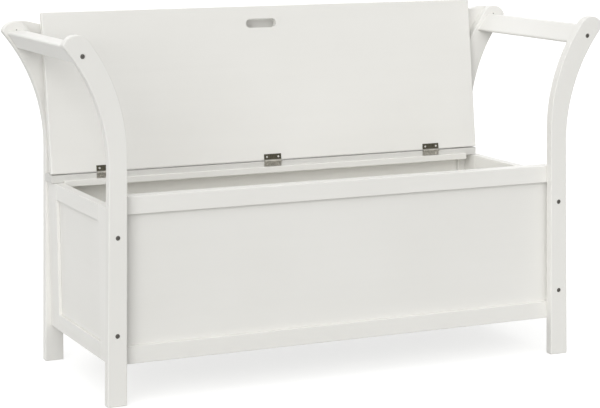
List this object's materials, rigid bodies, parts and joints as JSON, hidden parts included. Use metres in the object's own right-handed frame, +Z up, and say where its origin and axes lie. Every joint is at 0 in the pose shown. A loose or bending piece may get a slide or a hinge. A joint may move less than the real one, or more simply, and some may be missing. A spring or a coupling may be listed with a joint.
{
  "type": "storage bench",
  "caption": "Painted wooden hall bench with splayed scroll-ended legs, armrests, a panelled storage box and a hinged seat lid standing open.",
  "frame": {"origin": "centre of the bounding box at the floor, under the middle of the box", "axes": "+X along the seat towards the sitter's left, which is the picture's right, +Y from the front to the back, +Z up"},
  "size_m": [1.2422, 0.4638, 0.774],
  "materials": {
    "painted_wood": "satin off-white paint",
    "plated_steel": "bright plated",
    "dark_steel": "dark, recessed heads"
  },
  "bodies": {
    "bench": {"left_front_leg": "painted_wood", "right_front_leg": "painted_wood", "left_rear_leg": "painted_wood", "right_rear_leg": "painted_wood", "left_armrest": "painted_wood", "right_armrest": "painted_wood", "left_end_front_stile": "painted_wood", "left_end_rear_stile": "painted_wood", "left_end_top_rail": "painted_wood", "left_end_bottom_rail": "painted_wood", "left_end_panel": "painted_wood", "right_end_front_stile": "painted_wood", "right_end_rear_stile": "painted_wood", "right_end_top_rail": "painted_wood", "right_end_bottom_rail": "painted_wood", "right_end_panel": "painted_wood", "front_top_rail": "painted_wood", "front_bottom_rail": "painted_wood", "front_panel": "painted_wood", "rear_hinge_rail": "painted_wood", "rear_top_batten": "painted_wood", "rear_bottom_rail": "painted_wood", "rear_panel": "painted_wood", "left_corner_batten": "painted_wood", "right_corner_batten": "painted_wood", "storage_floor": "painted_wood", "crest_rail": "painted_wood", "left_front_lower_screw": "dark_steel", "left_front_upper_screw": "dark_steel", "left_front_arm_screw": "dark_steel", "right_front_lower_screw": "dark_steel", "right_front_upper_screw": "dark_steel", "right_front_arm_screw": "dark_steel", "left_rear_upper_screw": "dark_steel", "right_rear_upper_screw": "dark_steel", "left_crest_screw": "dark_steel", "right_crest_screw": "dark_steel", "left_hinge_rail_leaf": "plated_steel", "middle_hinge_rail_leaf": "plated_steel", "right_hinge_rail_leaf": "plated_steel", "left_hinge_pin": "plated_steel", "middle_hinge_pin": "plated_steel", "right_hinge_pin": "plated_steel", "left_rail_leaf_screw_a": "plated_steel", "left_rail_leaf_screw_b": "plated_steel", "middle_rail_leaf_screw_a": "plated_steel", "middle_rail_leaf_screw_b": "plated_steel", "right_rail_leaf_screw_a": "plated_steel", "right_rail_leaf_screw_b": "plated_steel"},
    "lid": {"lid": "painted_wood", "left_hinge_lid_leaf": "plated_steel", "middle_hinge_lid_leaf": "plated_steel", "right_hinge_lid_leaf": "plated_steel", "left_lid_leaf_screw_a": "plated_steel", "left_lid_leaf_screw_b": "plated_steel", "middle_lid_leaf_screw_a": "plated_steel", "middle_lid_leaf_screw_b": "plated_steel", "right_lid_leaf_screw_a": "plated_steel", "right_lid_leaf_screw_b": "plated_steel"}
  },
  "joints": [
    {"name": "lid_hinge", "type": "hinge", "parent": "bench", "child": "lid", "pos_m": [0, 0.1418, 0.4246], "axis": [1, 0, 0], "range_deg": [0, 97.41]}
  ]
}
